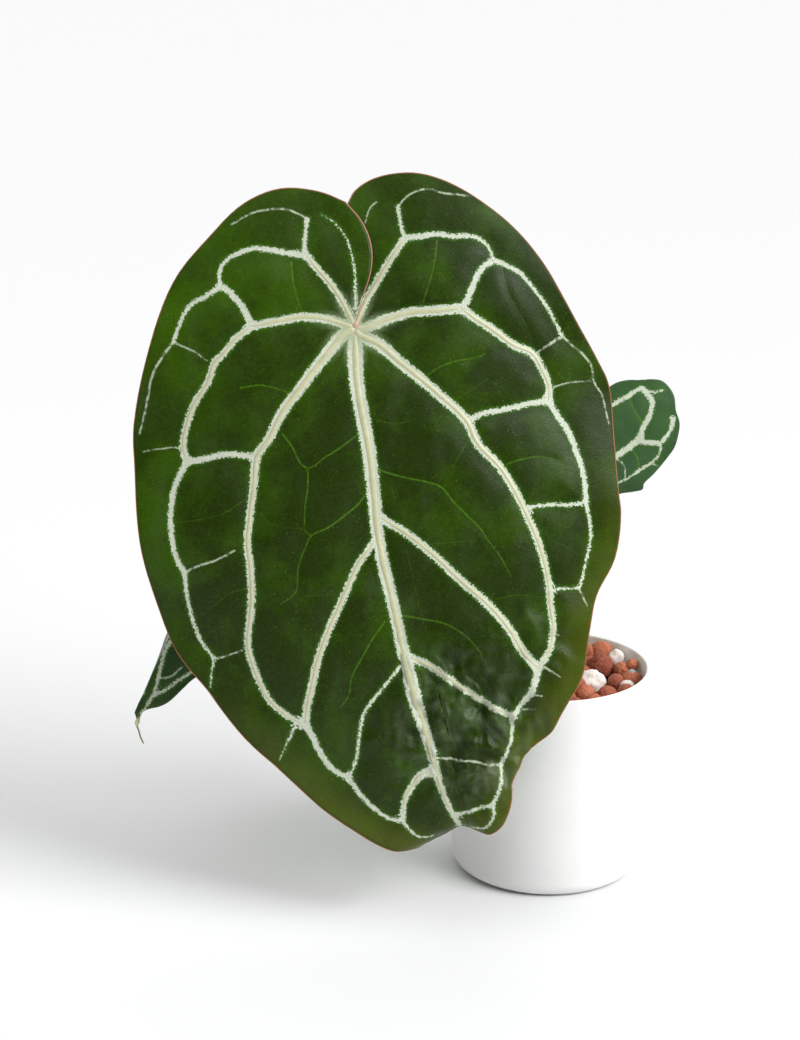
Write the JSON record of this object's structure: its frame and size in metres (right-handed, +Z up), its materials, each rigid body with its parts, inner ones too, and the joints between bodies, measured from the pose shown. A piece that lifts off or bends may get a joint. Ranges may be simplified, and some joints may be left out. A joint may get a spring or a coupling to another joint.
{
  "type": "potted anthurium",
  "caption": "Potted anthurium hybrid: large heart-shaped leaf blades with a raised net of pale veins on slender stalks, in a round white pot filled with clay balls.",
  "frame": {"origin": "centre of the pot's flat underside", "axes": "+Z up, +Y from the viewer's side towards the back, +X to the right as the main leaf blade is seen from its front"},
  "size_m": [0.3512, 0.2232, 0.4525],
  "materials": {
    "pot": "matt white",
    "fired_clay": "rough fired clay",
    "pumice": "rough",
    "mineral": "rough",
    "stem": "fibrous, dry sheaths",
    "stalk": "satin living plant tissue",
    "blade": "velvety living leaf, pale veins"
  },
  "bodies": {
    "root": {"pot": "pot", "clay_bed": "fired_clay", "pumice_1": "pumice", "pumice_2": "pumice", "pumice_3": "pumice", "pumice_4": "pumice", "pumice_5": "pumice", "pumice_6": "pumice", "pumice_7": "pumice", "pumice_8": "pumice", "pumice_9": "pumice", "pumice_10": "pumice", "mineral_chip": "mineral", "stem": "stem", "main_stalk": "stalk", "rear_left_stalk": "stalk", "rear_right_stalk": "stalk", "main_leaf_blade": "blade", "rear_left_leaf_blade": "blade", "rear_right_leaf_blade": "blade"}
  },
  "joints": []
}
